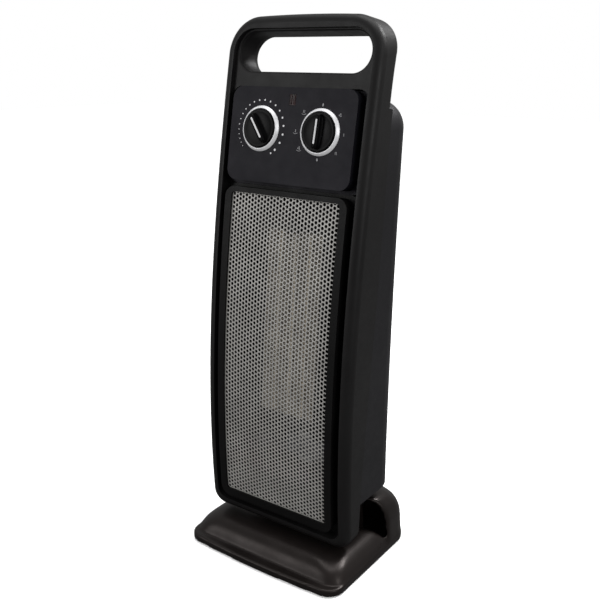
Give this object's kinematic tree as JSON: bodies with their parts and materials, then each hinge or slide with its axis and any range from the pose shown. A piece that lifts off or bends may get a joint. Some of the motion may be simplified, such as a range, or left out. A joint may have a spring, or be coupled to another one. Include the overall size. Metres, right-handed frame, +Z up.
{
  "type": "ceramic space heater",
  "caption": "Tower fan heater with a bowed perforated front, two rotary knobs, a carrying handle and a swinging base.",
  "frame": {"origin": "centre of the footprint, on the floor", "axes": "+Z up; the grille and the knobs face -Y; +X is to the right for someone who looks at the front"},
  "size_m": [0.174, 0.1393, 0.4959],
  "materials": {
    "body_plastic": "fine textured black plastic",
    "panel_plastic": "smooth satin black plastic",
    "base_plastic": "satin black plastic",
    "knob_plastic": "satin black plastic",
    "ring_silver": "satin silver",
    "marking_white": "white inlay",
    "mesh_steel": "perforated sheet, warm grey coating",
    "lens_red": "dark red translucent lens",
    "lamp_glass": "small glass lamp",
    "nylon": "natural nylon",
    "switch_plastic": "moulded thermoset",
    "heat_plastic": "heat resistant plastic",
    "motor_steel": "zinc plated steel",
    "core_steel": "stacked steel sheets",
    "screw_steel": "plated steel",
    "shaft_steel": "ground steel",
    "coil_copper": "enamelled winding",
    "bush_bronze": "sintered bronze",
    "fin_aluminium": "bare aluminium",
    "fan_aluminium": "bare aluminium",
    "ceramic": "fired ceramic",
    "foot_rubber": "matte rubber",
    "gland_rubber": "matte rubber"
  },
  "bodies": {
    "base": {"base_cover": "base_plastic", "base_plate": "base_plastic", "rubber_feet": "foot_rubber", "base_screws": "screw_steel", "swing_bearing_ring": "nylon", "spindle_bush": "nylon", "swing_motor": "motor_steel", "swing_motor_bracket": "motor_steel", "tilt_switch": "switch_plastic", "terminal_block": "switch_plastic", "cord_gland": "gland_rubber"},
    "housing": {"front_frame": "body_plastic", "rear_casing": "body_plastic", "control_panel": "panel_plastic", "grille_frame": "panel_plastic", "grille_mesh": "mesh_steel", "casing_screws": "screw_steel", "panel_screws": "screw_steel", "swing_spindle": "nylon", "swing_lever": "motor_steel", "thermostat_ring": "ring_silver", "selector_ring": "ring_silver", "indicator_lens": "lens_red", "neon_lamp": "lamp_glass", "control_bracket": "motor_steel", "thermostat_unit": "switch_plastic", "selector_switch": "switch_plastic", "heater_fins": "fin_aluminium", "heater_stones": "ceramic", "heater_holder": "heat_plastic", "thermal_cutout": "fin_aluminium", "motor_core": "core_steel", "motor_coil": "coil_copper", "motor_bracket_lower": "motor_steel", "motor_bracket_upper": "motor_steel", "fan_top_bracket": "motor_steel", "fan_bush": "bush_bronze", "air_guide": "heat_plastic", "air_duct_walls": "heat_plastic"},
    "thermostat_knob": {"thermostat_knob": "knob_plastic", "thermostat_pointer": "marking_white"},
    "selector_knob": {"selector_knob": "knob_plastic", "selector_pointer": "marking_white"},
    "fan": {"fan_wheel": "fan_aluminium", "fan_shaft": "shaft_steel", "motor_rotor": "core_steel"},
    "swing_crank": {"swing_crank": "nylon"},
    "tilt_plunger": {"tilt_plunger": "nylon"}
  },
  "joints": [
    {"name": "swing", "type": "hinge", "parent": "base", "child": "housing", "pos_m": [0, 0.012, 0.06], "axis": [0, 0, 1], "range_deg": [-30, 30]},
    {"name": "crank_turn", "type": "hinge", "parent": "base", "child": "swing_crank", "pos_m": [0, 0.037, 0.031], "axis": [0, 0, 1], "range_deg": [-87, 87]},
    {"name": "thermostat_turn", "type": "hinge", "parent": "housing", "child": "thermostat_knob", "pos_m": [-0.031, -0.01517, 0.40145], "axis": [0, -0.9857, 0.1684], "range_deg": [-181, 109]},
    {"name": "selector_turn", "type": "hinge", "parent": "housing", "child": "selector_knob", "pos_m": [0.031, -0.01517, 0.40145], "axis": [0, -0.9857, 0.1684], "continuous": true},
    {"name": "fan_spin", "type": "hinge", "parent": "housing", "child": "fan", "pos_m": [0, 0.03, 0.2], "axis": [0, 0, 1], "continuous": true},
    {"name": "tilt_plunger_slide", "type": "slide", "parent": "base", "child": "tilt_plunger", "axis": [0, 0, 1], "range_m": [-0.004, 0], "stiffness_N_per_m": 8}
  ],
  "couplings": [
    {"joint": "crank_turn", "follows": "swing", "ratio": 2.899}
  ]
}
